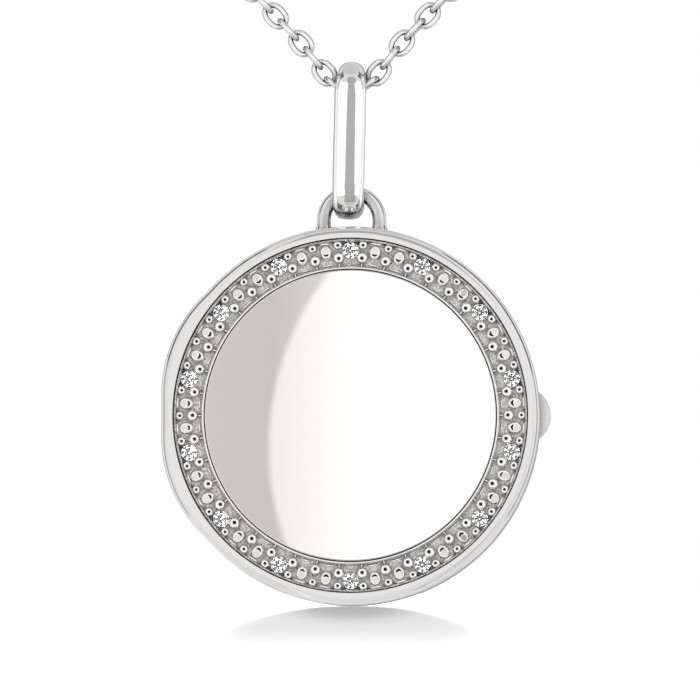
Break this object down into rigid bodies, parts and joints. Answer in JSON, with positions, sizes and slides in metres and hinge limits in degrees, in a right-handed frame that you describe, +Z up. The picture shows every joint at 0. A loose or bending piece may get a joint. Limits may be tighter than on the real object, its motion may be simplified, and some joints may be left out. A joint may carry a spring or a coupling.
{
  "type": "round hinged locket on a cable chain",
  "caption": "Round hinged locket with a band of small stones round a crowned mirror plate, hanging by a long bail from a whole fine cable chain.",
  "frame": {"origin": "the middle of the neck opening that the chain lies round", "axes": "+Z up along the neck, -Y to the front where the locket hangs, +X to the wearer's left"},
  "size_m": [0.13, 0.1224, 0.126],
  "materials": {
    "polished_silver": "rhodium-plated silver, mirror polished",
    "bright_cut_silver": "cast silver with raised beads, bright cut and rhodium plated",
    "chain_silver": "drawn silver wire links, tumbled bright and rhodium plated",
    "diamond": "polished round brilliant cut"
  },
  "bodies": {
    "necklace": {"chain": "chain_silver", "clasp": "chain_silver"},
    "bail": {"bail": "polished_silver"},
    "case": {"case_back": "polished_silver", "hinge_pin": "polished_silver"},
    "lid": {"lid": "polished_silver", "pave_ring": "bright_cut_silver", "stone_01": "diamond", "stone_02": "diamond", "stone_03": "diamond", "stone_04": "diamond", "stone_05": "diamond", "stone_06": "diamond", "stone_07": "diamond", "stone_08": "diamond", "stone_09": "diamond", "stone_10": "diamond", "stone_11": "diamond", "stone_12": "diamond", "stone_13": "diamond", "stone_14": "diamond"}
  },
  "joints": [
    {"name": "bail_swing", "type": "hinge", "parent": "necklace", "child": "bail", "pos_m": [0, -0.062, -0.09], "axis": [1, 0, 0], "range_deg": [-60, 60]},
    {"name": "case_swing", "type": "hinge", "parent": "bail", "child": "case", "pos_m": [0, -0.062, -0.09604], "axis": [1, 0, 0], "range_deg": [-45, 45]},
    {"name": "lid_hinge", "type": "hinge", "parent": "case", "child": "lid", "pos_m": [-0.01005, -0.06185, -0.10884], "axis": [0, 0, -1], "range_deg": [0, 140]}
  ]
}
